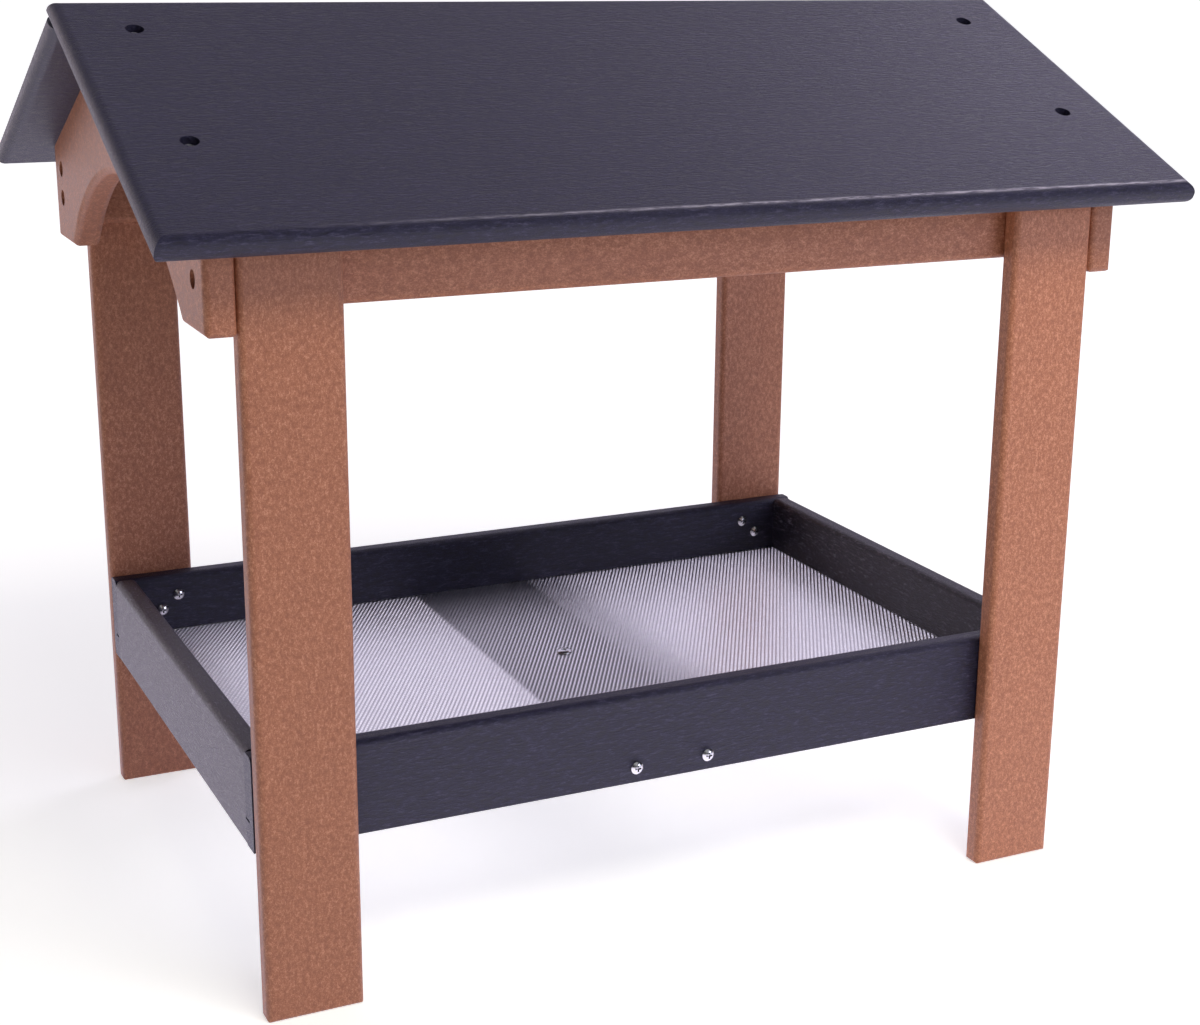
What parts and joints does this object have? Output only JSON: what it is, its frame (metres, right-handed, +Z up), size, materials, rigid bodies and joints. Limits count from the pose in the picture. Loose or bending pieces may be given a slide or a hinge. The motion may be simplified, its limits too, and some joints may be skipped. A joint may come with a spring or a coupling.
{
  "type": "ground bird feeder",
  "caption": "Ground bird feeder: a shallow tray with a metal screen floor, carried by flat legs under a pitched roof on arched gables.",
  "frame": {"origin": "on the ground, midway between the outermost points of the part along X and along Y", "axes": "+Z up, X along the ridge with +X to the right seen from the front, the front at -Y"},
  "size_m": [0.708, 0.5066, 0.6136],
  "materials": {
    "cedar_lumber": "recycled plastic lumber, cedar red-brown with fine darker flecks, satin",
    "black_lumber": "recycled plastic lumber, black with a faint streaky sheen",
    "screen_metal": "bright perforated sheet",
    "screw_steel": "stainless, bright"
  },
  "bodies": {
    "root": {"front_left_leg": "cedar_lumber", "front_right_leg": "cedar_lumber", "rear_left_leg": "cedar_lumber", "rear_right_leg": "cedar_lumber", "front_tray_board": "black_lumber", "rear_tray_board": "black_lumber", "left_tray_end": "black_lumber", "right_tray_end": "black_lumber", "screen": "screen_metal", "screen_slat": "black_lumber", "left_gable": "cedar_lumber", "right_gable": "cedar_lumber", "front_apron": "cedar_lumber", "rear_apron": "cedar_lumber", "front_roof_panel": "black_lumber", "rear_roof_panel": "black_lumber", "roof_screws": "screw_steel", "gable_screws": "screw_steel", "tray_leg_screws": "screw_steel", "apron_leg_screws": "screw_steel", "tray_corner_screws": "screw_steel", "slat_end_screws": "screw_steel", "screen_centre_screw": "screw_steel"}
  },
  "joints": []
}
